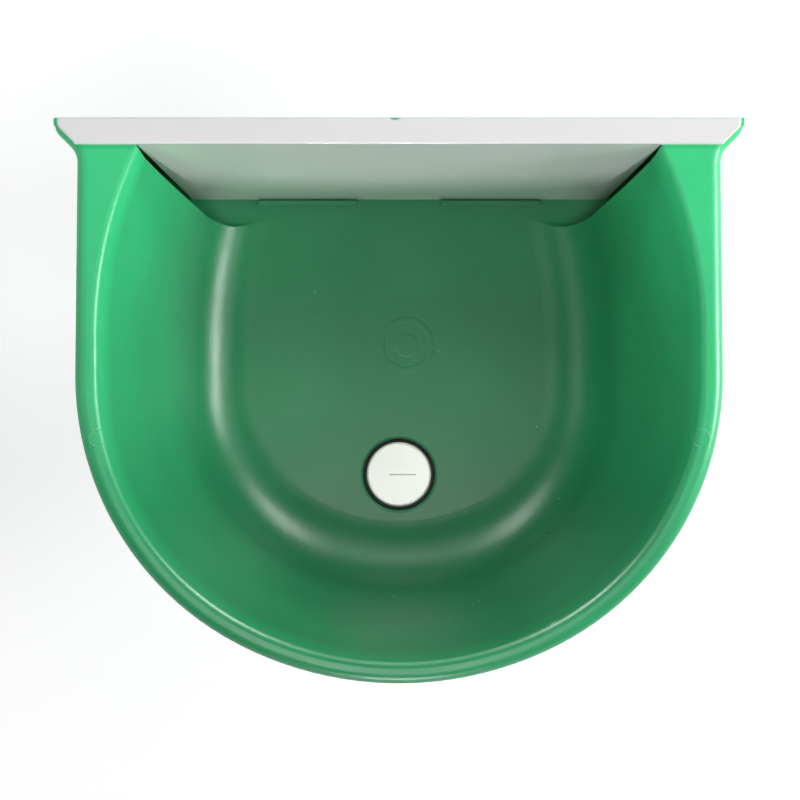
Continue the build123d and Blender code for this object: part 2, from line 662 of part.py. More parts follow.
def make_outlet_tube():
    bend_x = VALVE_X + OUTLET_REACH
    path = FilletPolyline(
        (OUTLET_START_X, HEAD_Y, OUTLET_Z),
        (bend_x, HEAD_Y, OUTLET_Z),
        (bend_x, HEAD_Y, OUTLET_Z - OUTLET_BEND - OUTLET_DROP),
        radius=OUTLET_BEND,
    )
    mouth = Plane(origin=(OUTLET_START_X, HEAD_Y, OUTLET_Z), x_dir=(0, 1, 0), z_dir=(1, 0, 0))
    ring = mouth * (Circle(OUTLET_TUBE_R) - Circle(OUTLET_TUBE_BORE_R))
    return sweep(ring, path=path)


def make_valve_seat():
    body_top = BORE_Z + SEAT_HEIGHT
    seat = rod(VALVE_X, HEAD_Y, BORE_Z, body_top, VALVE_BORE_R - FIT)
    nozzle = Cone(NOZZLE_FOOT_R, NOZZLE_R, NOZZLE_HEIGHT)
    seat += Pos(VALVE_X, HEAD_Y, body_top + NOZZLE_HEIGHT / 2) * nozzle
    return seat - rod(VALVE_X, HEAD_Y, BORE_Z - 1, NOZZLE_TIP_Z + 1, ORIFICE_R)


def make_inlet_strainer():
    low = UNDER_Z - TAIL_BELOW_FLOOR
    outer = TAIL_BORE_R - FIT
    strainer = rod(VALVE_X, TAIL_Y, low - STRAINER_RIM, low, STRAINER_RIM_R)
    strainer += rod(VALVE_X, TAIL_Y, low, low + STRAINER_LENGTH, outer)
    hollow_top = low + STRAINER_LENGTH - STRAINER_WALL
    strainer -= rod(VALVE_X, TAIL_Y, low - STRAINER_RIM - 1, hollow_top, outer - STRAINER_WALL)
    for angle in range(0, 180, 180 // STRAINER_SLOTS):
        slot = Box(3 * TAIL_BORE_R, STRAINER_SLOT_WIDTH, STRAINER_LENGTH - 4 * STRAINER_WALL)
        strainer -= Pos(VALVE_X, TAIL_Y, low + STRAINER_LENGTH / 2) * Rot(0, 0, angle) * slot
    return strainer


def make_plunger():
    foot = PLUNGER_TOP_Z - PLUNGER_STEM - PLUNGER_HEIGHT
    shoulder = foot + PLUNGER_HEIGHT
    radius = VALVE_BORE_R - RUNNING
    groove = foot + PLUNGER_HEIGHT / 3
    plunger = rod(VALVE_X, HEAD_Y, foot, shoulder, radius)
    plunger += rod(VALVE_X, HEAD_Y, shoulder, PLUNGER_TOP_Z, PLUNGER_STEM_R)
    plunger -= tube(VALVE_X, HEAD_Y, groove - SEAL_GROOVE_WIDTH / 2, groove + SEAL_GROOVE_WIDTH / 2,
                    radius + 1, SEAL_GROOVE_R)
    plunger -= rod(VALVE_X, HEAD_Y, foot - 1, foot + PAD_THICK / 2, PAD_R)
    return Pos(0, 0, PLUNGER_LIFT) * plunger


def make_plunger_pad():
    low = NOZZLE_TIP_Z + FIT + PLUNGER_LIFT
    return rod(VALVE_X, HEAD_Y, low, low + PAD_THICK, PAD_R)


def make_plunger_seal():
    groove = PLUNGER_TOP_Z - PLUNGER_STEM - 2 * PLUNGER_HEIGHT / 3 + PLUNGER_LIFT
    return Pos(VALVE_X, HEAD_Y, groove) * Torus(SEAL_RING_R, SEAL_CORD_R)


def dropped(shape):
    """The lever's pieces are drawn level, as when the bowl is full, then hung down for an empty one."""
    pivot = Pos(PIVOT_X, HEAD_Y, PIVOT_Z)
    return pivot * Rot(0, -LEVER_DROP_DEG, 0) * pivot.inverse() * shape


def across(x, z, radius, length):
    """A cylinder along Y, centred on the lever's plane."""
    return Pos(x, HEAD_Y, z) * Rot(90, 0, 0) * Cylinder(radius, length)


def make_float_lever():
    boss_top = SCREW_BOSS_Z + SCREW_BOSS_HEIGHT
    foot_top = FLOAT_TOP_Z + FOOT_THICK
    profile = Polyline(
        (PIVOT_X, 0, PIVOT_Z - LEVER_HALF),
        (VALVE_X - SCREW_BOSS_R, 0, SCREW_BOSS_Z),
        (VALVE_X, 0, SCREW_BOSS_Z),
        (VALVE_X, 0, boss_top),
        (PIVOT_X, 0, PIVOT_Z + LEVER_HALF),
        (FOOT_END_X, 0, FLOAT_TOP_Z + ARM_ROOT_HEIGHT),
        (FOOT_START_X, 0, FLOAT_TOP_Z + ARM_TIP_HEIGHT),
        (FOOT_START_X, 0, FLOAT_TOP_Z),
        (FOOT_END_X, 0, FLOAT_TOP_Z),
        close=True,
    )
    web = Pos(0, HEAD_Y, 0) * extrude(make_face(profile), LEVER_THICK / 2, dir=(0, 1, 0), both=True)
    lever = web + across(PIVOT_X, PIVOT_Z, LEVER_HALF, LEVER_THICK)
    lever += rod(VALVE_X, HEAD_Y, SCREW_BOSS_Z, boss_top, SCREW_BOSS_R)
    foot = block(
        (FOOT_START_X, HEAD_Y - FOOT_WIDTH / 2, FLOAT_TOP_Z),
        (FOOT_END_X, HEAD_Y + FOOT_WIDTH / 2, foot_top),
    )
    lever += fillet(foot.edges().filter_by(Axis.Z), FOOT_WIDTH / 3)
    for x in FLOAT_SCREW_XS.values():
        lever -= rod(x, HEAD_Y, FLOAT_TOP_Z - 1, foot_top + 1, FLOAT_SCREW_R + FIT)
        pocket_r = FLOAT_SCREW_HEAD_R + FLOAT_SCREW_POCKET
        lever -= rod(x, HEAD_Y, foot_top, foot_top + 2 * ARM_ROOT_HEIGHT, pocket_r)
    lever -= rod(VALVE_X, HEAD_Y, SCREW_BOSS_Z - 1, boss_top + 1, ADJUST_R + FIT)
    lever -= across(PIVOT_X, PIVOT_Z, PIN_R + FIT, 2 * LEVER_THICK)
    return dropped(lever)


def make_float_block():
    foot_z = FLOOR_Z + FLOAT_FLOOR_GAP
    section = Polyline(
        (FLOAT_START_X, FLOAT_BACK_Y, FLOAT_TOP_Z),
        (FLOAT_START_X, FLOAT_BACK_Y - FLOAT_TOP_THICK, FLOAT_TOP_Z),
        (FLOAT_START_X, FLOAT_BACK_Y - FLOAT_FOOT_THICK, foot_z),
        (FLOAT_START_X, FLOAT_BACK_Y, foot_z),
        close=True,
    )
    body = extrude(make_face(section), FLOAT_LENGTH, dir=(1, 0, 0))
    body = fillet(body.edges(), FLOAT_ROUND)
    for x in FLOAT_SCREW_XS.values():
        body -= rod(x, HEAD_Y, FLOAT_TOP_Z - FLOAT_SCREW_LENGTH, FLOAT_TOP_Z + 1, FLOAT_SCREW_R + FIT)
    return dropped(body)


def make_float_screw(x):
    foot_top = FLOAT_TOP_Z + FOOT_THICK
    head_top = foot_top + FLOAT_SCREW_HEAD
    shank = rod(x, HEAD_Y, foot_top + FIT - FLOAT_SCREW_LENGTH, foot_top, FLOAT_SCREW_R)
    head = rod(x, HEAD_Y, foot_top, head_top, FLOAT_SCREW_HEAD_R)
    head = fillet(head.edges().sort_by(Axis.Z)[-1], FLOAT_SCREW_HEAD / 3)
    return dropped(shank + head - drive_slot(x, head_top, 2 * FLOAT_SCREW_HEAD_R))


def drive_slot(x, top_z, length):
    return Pos(x, HEAD_Y, top_z) * Box(length, DRIVE_WIDTH, 2 * DRIVE_DEPTH)


def make_adjusting_screw():
    tip = PLUNGER_TOP_Z + ADJUST_TIP_GAP
    nut_top = SCREW_BOSS_Z + SCREW_BOSS_HEIGHT + ADJUST_NUT_HEIGHT
    head_low = nut_top + ADJUST_STANDOUT
    head_top = head_low + ADJUST_HEAD
    shank = rod(VALVE_X, HEAD_Y, tip, head_low, ADJUST_R)
    shank = fillet(shank.edges().sort_by(Axis.Z)[0], ADJUST_R / 2)
    head = rod(VALVE_X, HEAD_Y, head_low, head_top, ADJUST_HEAD_R)
    head = chamfer(head.edges().sort_by(Axis.Z)[-1], ADJUST_HEAD / 5)
    return dropped(shank + head - drive_slot(VALVE_X, head_top, 2 * ADJUST_HEAD_R + 1))


def make_adjusting_nut():
    low = SCREW_BOSS_Z + SCREW_BOSS_HEIGHT
    nut = hexagon_prism(VALVE_X, HEAD_Y, low, ADJUST_NUT_HEIGHT, ADJUST_NUT_FLATS)
    return dropped(nut - rod(VALVE_X, HEAD_Y, low - 1, low + ADJUST_NUT_HEIGHT + 1, ADJUST_R + FIT))


def make_pivot_pin():
    """Head towards the cover, groove and clip towards the wall."""
    front = HEAD_Y - EAR_DEPTH
    clip_y = HEAD_Y + EAR_DEPTH
    end = clip_y + CLIP_THICK + PIN_TAIL

    def lying(start, stop, radius):
        return Pos(PIVOT_X, (start + stop) / 2, PIVOT_Z) * Rot(90, 0, 0) * Cylinder(radius, stop - start)

    pin = lying(front, end, PIN_R) + lying(front - PIN_HEAD, front, PIN_HEAD_R)
    clip_end = clip_y + CLIP_THICK
    return pin - (lying(clip_y, clip_end, PIN_R + 1) - lying(clip_y, clip_end, PIN_GROOVE_R))


def make_pivot_clip():
    middle = HEAD_Y + EAR_DEPTH + CLIP_THICK / 2
    disc = Pos(PIVOT_X, middle, PIVOT_Z) * Rot(90, 0, 0) * Cylinder(CLIP_R, CLIP_THICK)
    hole = Pos(PIVOT_X, middle, PIVOT_Z) * Rot(90, 0, 0) * Cylinder(PIN_GROOVE_R, 2 * CLIP_THICK)
    mouth = Pos(PIVOT_X, middle, PIVOT_Z + CLIP_R) * Box(CLIP_MOUTH, 2 * CLIP_THICK, 2 * CLIP_R)
    return disc - hole - mouth


def export(name, shape):
    export_step(shape, f"parts/{name}.step")


def main():
    os.makedirs("parts", exist_ok=True)
    export("bowl_body", make_bowl())
    export("valve_cover", make_cover())
    export("drain_gasket", make_drain_gasket())
    export("drain_plug", make_drain_plug())
    export("drain_ring", make_drain_ring())
    export("inlet_gasket", make_inlet_gasket())
    export("inlet_washer", make_inlet_washer())
    export("inlet_nut", make_inlet_nut())
    export("inlet_strainer", make_inlet_strainer())
    export("valve_body", make_valve_body())
    export("valve_seat", make_valve_seat())
    export("outlet_tube", make_outlet_tube())
    export("plunger", make_plunger())
    export("plunger_pad", make_plunger_pad())
    export("plunger_seal", make_plunger_seal())
    export("float_lever", make_float_lever())
    export("float_block", make_float_block())
    for side, x in FLOAT_SCREW_XS.items():
        export(f"float_screw_{side}", make_float_screw(x))
    export("adjusting_screw", make_adjusting_screw())
    export("adjusting_nut", make_adjusting_nut())
    export("pivot_pin", make_pivot_pin())
    export("pivot_clip", make_pivot_clip())


if __name__ == "__main__":
    main()
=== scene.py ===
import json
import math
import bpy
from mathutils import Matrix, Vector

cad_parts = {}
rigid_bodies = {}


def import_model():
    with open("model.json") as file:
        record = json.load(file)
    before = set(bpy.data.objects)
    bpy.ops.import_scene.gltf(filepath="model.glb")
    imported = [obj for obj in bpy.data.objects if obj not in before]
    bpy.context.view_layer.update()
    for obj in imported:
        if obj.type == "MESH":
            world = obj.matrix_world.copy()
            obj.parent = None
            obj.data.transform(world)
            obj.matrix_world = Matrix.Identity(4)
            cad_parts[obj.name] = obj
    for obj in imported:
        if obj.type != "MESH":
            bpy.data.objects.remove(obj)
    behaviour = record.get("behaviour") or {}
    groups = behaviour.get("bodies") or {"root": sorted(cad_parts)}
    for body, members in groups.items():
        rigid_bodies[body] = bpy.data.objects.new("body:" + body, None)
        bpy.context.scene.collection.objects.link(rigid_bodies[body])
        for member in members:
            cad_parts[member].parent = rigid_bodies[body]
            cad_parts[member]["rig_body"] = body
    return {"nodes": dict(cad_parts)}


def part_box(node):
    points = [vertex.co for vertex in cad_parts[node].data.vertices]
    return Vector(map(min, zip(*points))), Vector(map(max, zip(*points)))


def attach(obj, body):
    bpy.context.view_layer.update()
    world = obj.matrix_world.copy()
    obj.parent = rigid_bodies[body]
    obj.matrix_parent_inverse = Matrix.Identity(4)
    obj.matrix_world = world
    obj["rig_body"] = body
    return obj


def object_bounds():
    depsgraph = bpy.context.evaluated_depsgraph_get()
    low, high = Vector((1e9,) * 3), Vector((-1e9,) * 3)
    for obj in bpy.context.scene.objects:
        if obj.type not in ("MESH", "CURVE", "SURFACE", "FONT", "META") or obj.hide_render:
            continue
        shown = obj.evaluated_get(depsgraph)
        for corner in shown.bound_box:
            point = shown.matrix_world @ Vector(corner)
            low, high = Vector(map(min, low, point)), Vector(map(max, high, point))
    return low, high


bl_info = {
    "name": "Livestock drinking bowl",
    "version": (1, 0, 0),
    "blender": (4, 5, 0),
    "location": "View3D > Sidebar > Bowl",
    "description": "Finishes a wall-hung drinking bowl: moulded skin, threads, valve, float and stage",
    "category": "Add Mesh",
}

import bmesh
import bpy
from mathutils import Matrix, Vector
from mathutils.bvhtree import BVHTree

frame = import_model()
cad_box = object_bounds()

MM = 0.001

PLUG_LOW, PLUG_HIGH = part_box("drain_plug")
TAIL_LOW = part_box("valve_body")[0]
NUT_LOW, NUT_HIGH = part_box("inlet_nut")
LID_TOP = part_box("valve_cover")[1].z
BODY_OF = {n: o["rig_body"] for n, o in frame["nodes"].items()}

# Mould marks: rings on the rim, a pad with a halo on the floor, and a line on the plug's end.
EJECTOR_X, EJECTOR_Y = 154.5 * MM, -164.0 * MM
EJECTOR_BEAD, EJECTOR_RISE = 0.5 * MM, 0.26 * MM
GATE_X, GATE_Y = 4.0 * MM, -116.0 * MM
GATE_PAD_R, GATE_PAD_EDGE, GATE_PAD_RISE = 6.7 * MM, 0.8 * MM, 0.07 * MM
GATE_HALO_BEAD, GATE_HALO_RISE = 1.8 * MM, 0.05 * MM
PLUG_LINE_X, PLUG_LINE_SIZE = 2.0 * MM, (14.5 * MM, 0.7 * MM, 0.16 * MM)
PLUG_LINE_ROUND = 0.12 * MM

# Pipe thread on the valve's tail, clear of the tail's end below and of the nut above.
TAIL_R, THREAD_PITCH, THREAD_CREST = 10.475 * MM, 1.814 * MM, 0.3 * MM
THREAD_START, THREAD_SHORT = 1.0 * MM, 4.5 * MM

# Mould seams on the float, the lever and the valve's casting.
SEAM_WIDTH, SEAM_STAND = 0.5 * MM, 0.12 * MM
LEVER_MIDDLE = Vector((0, -10.4 * MM, 0))
LEVER_DROP = math.radians(10)
VALVE_SEAM_SPAN = (-38 * MM, 1 * MM)

# Skin of the moulded pieces.
PLASTIC_IOR = 1.54
PLASTIC_SPECULAR = 0.65
RUB_SPREAD = 0.09
EDGE_RADIUS = 0.9 * MM
WAVE_DEPTH = 0.25 * MM

# Painted shade in the bowl's colour at each height: darker towards the floor, full colour at the rim.
BOWL_PAINTED_SHADE_BY_HEIGHT = (
    (-52 * MM, 0.50),
    (-38 * MM, 0.50),
    (0.0, 0.64),
    (46 * MM, 0.76),
    (58 * MM, 1.0),
)
# Painted shade in the bowl's colour from its front to its back: darker towards the front.
BOWL_PAINTED_SHADE_TO_FRONT = ((-292 * MM, 0.44), (-225 * MM, 0.53), (-130 * MM, 0.86), (-50 * MM, 1.0))

# Stage: what the camera looks down on, the floor and the light round the bowl.
LID_THICKNESS = 2.5 * MM
CAMERA_Y = -118.7 * MM
AIM_SHIFT = Vector((0.5 * MM, -25.6 * MM, 0))
SENSOR_WIDTH, CLIP_END = 36, 20
FLOOR_HALF, FLOOR_GLOW = 4.0, 0.35
WORLD_LEVEL, HORIZON_SPREAD = 0.12, 0.15
PLUG_BEAM_R, PLUG_BEAM_WATTS = 17.6 * MM, 34.0
LAMP_AIM = Vector((0, -0.15, 0.03))
LAMP_DISTANCE = 1.6
# Name, turn and rise in degrees, size in metres and power in watts.
LAMPS = (
    ("key_right", 0, 22, 0.5, 15.0),
    ("sheen_right", 0, 38, 0.9, 2.6),
    ("back_right", 50, 33, 0.45, 6.0),
    ("back_left", 130, 33, 0.45, 4.2),
    ("back", 90, 42, 0.5, 1.0),
    ("left", 180, 38, 0.6, 1.3),
    ("top", 262, 73, 0.6, 4.6),
    ("front", 270, 17, 0.2, 7.0),
)
# The same for lamps that show only as highlights.
GLINTS = (
    ("glint_left", 123, 18, 0.35, 14.0),
    ("glint_right", 57, 18, 0.35, 14.0),
    ("glint_back", 90, 22, 0.5, 4.0),
)


# ---------------------------------------------------------------- settings
class BowlSettings(bpy.types.PropertyGroup):
    """Colours and small sizes of the moulded bowl."""

    green: bpy.props.FloatVectorProperty(
        name="Bowl green",
        description="Colour of the moulded bowl",
        subtype="COLOR",
        size=3,
        min=0,
        max=1,
        default=(0.049, 0.690, 0.260),
    )
    mark_radius: bpy.props.FloatProperty(
        name="Ejector mark radius",
        description="Ring that a mould's ejector pin leaves on the rim",
        unit="LENGTH",
        default=4.6 * MM,
    )
    gate_radius: bpy.props.FloatProperty(
        name="Gate ring radius",
        description="Outer ring round the moulding gate in the floor",
        unit="LENGTH",
        default=13.9 * MM,
    )


class CoverSettings(bpy.types.PropertyGroup):
    """Colours of the white pieces."""

    white: bpy.props.FloatVectorProperty(
        name="Cover white",
        description="Colour of the lift-out cover",
        subtype="COLOR",
        size=3,
        min=0,
        max=1,
        default=(0.89, 0.895, 0.89),
    )
    plug_white: bpy.props.FloatVectorProperty(
        name="Plug white",
        description="Colour of the drain plug",
        subtype="COLOR",
        size=3,
        min=0,
        max=1,
        default=(0.74, 0.74, 0.68),
    )


class StageSettings(bpy.types.PropertyGroup):
    """Camera and floor."""

    camera_height: bpy.props.FloatProperty(
        name="Camera height",
        description="Lens above the bowl's rim",
        unit="LENGTH",
        default=1300 * MM,
    )
    lens: bpy.props.FloatProperty(
        name="Lens",
        description="Focal length on a 36 mm sensor, in millimetres",
        default=114.3,
    )
    floor_gap: bpy.props.FloatProperty(
        name="Floor gap",
        description="Floor below the lowest piece",
        unit="LENGTH",
        default=120 * MM,
    )


# ---------------------------------------------------------------- materials
def new_material(name):
    """An empty node tree with a Principled shader on its output."""
    material = bpy.data.materials.new(name)
    material.use_nodes = True
    tree = material.node_tree
    tree.nodes.clear()
    output = tree.nodes.new("ShaderNodeOutputMaterial")
    shader = tree.nodes.new("ShaderNodeBsdfPrincipled")
    tree.links.new(shader.outputs[0], output.inputs["Surface"])
    return material, tree, shader


def object_place(tree, stretch=(1, 1, 1)):
    """Object coordinates, stretched along each axis."""
    place = tree.nodes.new("ShaderNodeTexCoord")
    mapping = tree.nodes.new("ShaderNodeMapping")
    mapping.inputs["Scale"].default_value = stretch
    tree.links.new(place.outputs["Object"], mapping.inputs["Vector"])
    return mapping.outputs["Vector"]


def noise(tree, place, scale, detail, roughness=0.5):
    """A noise pattern's value at a place."""
    node = tree.nodes.new("ShaderNodeTexNoise")
    node.inputs["Scale"].default_value = scale
    node.inputs["Detail"].default_value = detail
    node.inputs["Roughness"].default_value = roughness
    tree.links.new(place, node.inputs["Vector"])
    return node.outputs["Fac"]


def remap(tree, value, low, high, to_low, to_high):
    """A value's range stretched to another, and held at its ends."""
    node = tree.nodes.new("ShaderNodeMapRange")
    for name, number in (
        ("From Min", low),
        ("From Max", high),
        ("To Min", to_low),
        ("To Max", to_high),
    ):
        node.inputs[name].default_value = number
    tree.links.new(value, node.inputs["Value"])
    return node.outputs["Result"]


def tint(tree, factor, colour_a, colour_b):
    """A colour between two, by a factor."""
    node = tree.nodes.new("ShaderNodeMix")
    node.data_type = "RGBA"
    node.inputs["A"].default_value = (*colour_a, 1)
    node.inputs["B"].default_value = (*colour_b, 1)
    tree.links.new(factor, node.inputs["Factor"])
    return node.outputs["Result"]


def edge_round(tree, radius):
    """Normals rounded over sharp moulded edges."""
    node = tree.nodes.new("ShaderNodeBevel")
    node.samples = 4
    node.inputs["Radius"].default_value = radius
    return node.outputs["Normal"]


def bump(tree, height, distance, strength, under=None):
    """Normals from a height, over another node's normals if given."""
    node = tree.nodes.new("ShaderNodeBump")
    node.inputs["Distance"].default_value = distance
    node.inputs["Strength"].default_value = strength
    tree.links.new(height, node.inputs["Height"])
    if under is not None:
        tree.links.new(under, node.inputs["Normal"])
    return node.outputs["Normal"]


def shade(colour, factor):
    """A lighter or darker shade of a colour."""
    return tuple(min(1.0, c * factor) for c in colour)


def paint_shade_ramp(tree, colours, axis, painted_shade_ramps):
    """Paints shade into a colour: multiplies it by a grey ramp along an axis."""
    place = tree.nodes.new("ShaderNodeTexCoord")
    split = tree.nodes.new("ShaderNodeSeparateXYZ")
    tree.links.new(place.outputs["Object"], split.inputs[0])
    low, high = painted_shade_ramps[0][0], painted_shade_ramps[-1][0]
    along = remap(tree, split.outputs[axis], low, high, 0.0, 1.0)
    ramp = tree.nodes.new("ShaderNodeValToRGB")
    ramp.color_ramp.interpolation = "EASE"
    stops = ramp.color_ramp.elements
    while len(stops) < len(painted_shade_ramps):
        stops.new(0.5)
    for stop, (at, level) in zip(stops, painted_shade_ramps):
        stop.position = (at - low) / (high - low)
        stop.color = (level, level, level, 1)
    tree.links.new(along, ramp.inputs["Fac"])
    multiply = tree.nodes.new("ShaderNodeMix")
    multiply.data_type = "RGBA"
    multiply.blend_type = "MULTIPLY"
    multiply.inputs["Factor"].default_value = 1.0
    tree.links.new(colours, multiply.inputs["A"])
    tree.links.new(ramp.outputs["Color"], multiply.inputs["B"])
    return multiply.outputs["Result"]


def add_specks(tree, place, colours, pale):
    """Sparse pale nicks, a fraction of a millimetre wide."""
    cells = tree.nodes.new("ShaderNodeTexVoronoi")
    cells.inputs["Scale"].default_value = 90.0
    tree.links.new(place, cells.inputs["Vector"])
    near = remap(tree, cells.outputs["Distance"], 0.03, 0.045, 1.0, 0.0)
    split = tree.nodes.new("ShaderNodeSeparateColor")
    tree.links.new(cells.outputs["Color"], split.inputs[0])
    chosen = remap(tree, split.outputs[0], 0.74, 0.76, 0.0, 0.7)
    both = tree.nodes.new("ShaderNodeMath")
    both.operation = "MULTIPLY"
    tree.links.new(near, both.inputs[0])
    tree.links.new(chosen, both.inputs[1])
    mixed = tree.nodes.new("ShaderNodeMix")
    mixed.data_type = "RGBA"
    mixed.inputs["B"].default_value = (*pale, 1)
    tree.links.new(both.outputs[0], mixed.inputs["Factor"])
    tree.links.new(colours, mixed.inputs["A"])
    return mixed.outputs["Result"]


def moulded_plastic(name, colour, roughness, vary=0.08, grain=0.02, painted_shade_ramps=(), specks=False, rounded=True):
    """Plastic with faint clouding, a fine orange-peel skin and light rubs; painted shade comes from (axis,
    levels) pairs.
    """
    material, tree, shader = new_material(name)
    place = object_place(tree)
    cloud = noise(tree, place, scale=14.0, detail=3.0)
    factor = remap(tree, cloud, 0.3, 0.7, 0.0, 1.0)
    colours = tint(tree, factor, shade(colour, 1 - vary), shade(colour, 1 + vary))
    shader.inputs["IOR"].default_value = PLASTIC_IOR
    shader.inputs["Specular IOR Level"].default_value = PLASTIC_SPECULAR
    # Painted shade: the colour darkened along each axis by its ramp.
    for axis, ramp in painted_shade_ramps:
        colours = paint_shade_ramp(tree, colours, axis, ramp)
    if specks:
        colours = add_specks(tree, place, colours, (0.42, 0.80, 0.55))
    tree.links.new(colours, shader.inputs["Base Color"])
    rub = noise(tree, place, scale=22.0, detail=2.0, roughness=0.4)
    rough = remap(tree, rub, 0.0, 1.0, roughness - RUB_SPREAD, roughness + RUB_SPREAD)
    tree.links.new(rough, shader.inputs["Roughness"])
    peel = noise(tree, place, scale=900.0, detail=2.0)
    wave = noise(tree, place, scale=35.0, detail=2.0)
    under = edge_round(tree, EDGE_RADIUS) if rounded else None
    fine = bump(tree, peel, grain * MM, strength=0.6, under=under)
    tree.links.new(bump(tree, wave, WAVE_DEPTH, strength=0.25, under=fine), shader.inputs["Normal"])
    return material


def metal(name, colour, roughness, brush=(1, 1, 1), cast=False):
    """Turned, brushed or cast metal, with a fine directional or sandy grain."""
    material, tree, shader = new_material(name)
    shader.inputs["Metallic"].default_value = 1.0
    place = object_place(tree, brush)
    grain = noise(tree, place, scale=700.0 if cast else 400.0, detail=3.0)
    stain = noise(tree, object_place(tree), scale=45.0, detail=4.0)
    factor = remap(tree, stain, 0.35, 0.7, 0.0, 1.0)
    colours = tint(tree, factor, colour, shade(colour, 0.78))
    tree.links.new(colours, shader.inputs["Base Color"])
    rough = remap(tree, grain, 0.3, 0.7, roughness - 0.06, roughness + 0.1)
    tree.links.new(rough, shader.inputs["Roughness"])
    depth = 0.12 if cast else 0.03
    tree.links.new(bump(tree, grain, depth * MM, strength=0.5), shader.inputs["Normal"])
    return material


def rubber(name, colour):
    """Matt rubber with a paler bloom."""
    material, tree, shader = new_material(name)
    place = object_place(tree)
    bloom = noise(tree, place, scale=120.0, detail=4.0)
    factor = remap(tree, bloom, 0.4, 0.7, 0.0, 1.0)
    colours = tint(tree, factor, colour, shade(colour, 2.2))
    tree.links.new(colours, shader.inputs["Base Color"])
    shader.inputs["Roughness"].default_value = 0.72
    tree.links.new(bump(tree, bloom, 0.05 * MM, strength=0.5), shader.inputs["Normal"])
    return material


def dress(node, material):
    """A CAD node keeps its shape and takes a finish."""
    mesh = frame["nodes"][node].data
    mesh.materials.clear()
    mesh.materials.append(material)


# ---------------------------------------------------------------- shapes
def linked(name, data):
    """A new object in the scene."""
    thing = bpy.data.objects.new(name, data)
    bpy.context.scene.collection.objects.link(thing)
    return thing


def finished(mesh, name, material, body, smooth=True):
    """Turns a bmesh into a piece that rides on a body."""
    bmesh.ops.recalc_face_normals(mesh, faces=mesh.faces)
    data = bpy.data.meshes.new(name)
    mesh.to_mesh(data)
    mesh.free()
    for face in data.polygons:
        face.use_smooth = smooth
    data.materials.append(material)
    piece = linked(name, data)
    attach(piece, body)
    return piece


def spun_ring(mesh, centre, profile, axis=(0, 0, 1), side=(1, 0, 0), steps=64):
    """Spins a closed profile of (radius, height) points into a ring about an axis."""
    axis, side = Vector(axis), Vector(side)
    verts = [mesh.verts.new(centre + side * r + axis * h) for r, h in profile]
    loop = [mesh.edges.new((verts[i - 1], verts[i])) for i in range(len(verts))]
    bmesh.ops.spin(
        mesh,
        geom=verts + loop,
        cent=centre,
        axis=axis,
        angle=math.tau,
        steps=steps,
        use_merge=True,
    )
    bmesh.ops.remove_doubles(mesh, verts=mesh.verts, dist=1e-7)


def half_round(radius, width, height, points=7):
    """Profile of a low rounded bead, its foot a little below the face it stands on."""
    arc = [math.pi * i / (points - 1) for i in range(points)]
    top = [(radius + width * math.cos(a), height * math.sin(a)) for a in arc]
    return top + [(radius - width, -height), (radius + width, -height)]


def disc_profile(radius, edge, height):
    """Profile of a low round pad with a soft edge, from its axis outwards."""
    return [(0, -height), (0, height), (radius - edge, height), (radius, 0), (radius, -height)]


def lay_on(mesh, node):
    """Drops a flat mesh made around height zero onto a node's upper surface."""
    tree = BVHTree.FromObject(frame["nodes"][node], bpy.context.evaluated_depsgraph_get())
    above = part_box(node)[1].z + 1
    for vert in mesh.verts:
        hit = tree.ray_cast(Vector((vert.co.x, vert.co.y, above)), Vector((0, 0, -1)))[0]
        vert.co.z += hit.z


def seam_mesh(node, point, normal, width):
    """A narrow band of a node's own skin, on either side of a plane, for a mould seam."""
    mesh = bmesh.new()
    mesh.from_mesh(frame["nodes"][node].data)
    bmesh.ops.remove_doubles(mesh, verts=mesh.verts, dist=1e-6)
    point, normal = Vector(point), Vector(normal)
    for side in (1, -1):
        bmesh.ops.bisect_plane(
            mesh,
            geom=mesh.verts[:] + mesh.edges[:] + mesh.faces[:],
            plane_co=point + normal * side * width / 2,
            plane_no=normal * side,
            clear_outer=True,
        )
    return mesh


def keep_between(mesh, axis, low, high):
    """Cuts a mesh off below and above two heights along an axis."""
    axis = Vector(axis)
    for level, side in ((low, -1), (high, 1)):
        bmesh.ops.bisect_plane(
            mesh,
            geom=mesh.verts[:] + mesh.edges[:] + mesh.faces[:],
            plane_co=axis * level,
            plane_no=axis * side,
            clear_outer=True,
        )


def thicken(mesh, stand):
    """Gives an open band of skin a wall that stands out by this much and sinks in as far."""
    mesh.normal_update()
    for vert, out in [(v, v.normal.copy()) for v in mesh.verts]:
        vert.co += out * stand
    bmesh.ops.solidify(mesh, geom=mesh.faces[:], thickness=2 * stand)


def thread(mesh, centre, radius, depth, pitch, turns, steps=48):
    """A helical ridge that climbs along +Z from its centre's height, closed at both ends."""
    root, crest = radius - 0.2 * depth, radius + depth
    profile = [(root, -0.36 * pitch), (crest, -0.06 * pitch), (crest, 0.06 * pitch), (root, 0.36 * pitch)]
    verts = [mesh.verts.new(centre + Vector((r, 0, h + 0.5 * pitch))) for r, h in profile]
    loop = [mesh.edges.new((verts[i - 1], verts[i])) for i in range(len(verts))]
    mesh.faces.new(verts)
    made = bmesh.ops.spin(
        mesh,
        geom=verts + loop,
        cent=centre,
        axis=(0, 0, 1),
        dvec=(0, 0, pitch / steps),
        angle=math.tau * turns,
        steps=int(steps * turns),
    )
    last = [v for v in made["geom_last"] if isinstance(v, bmesh.types.BMVert)]
    bmesh.ops.contextual_create(mesh, geom=last)


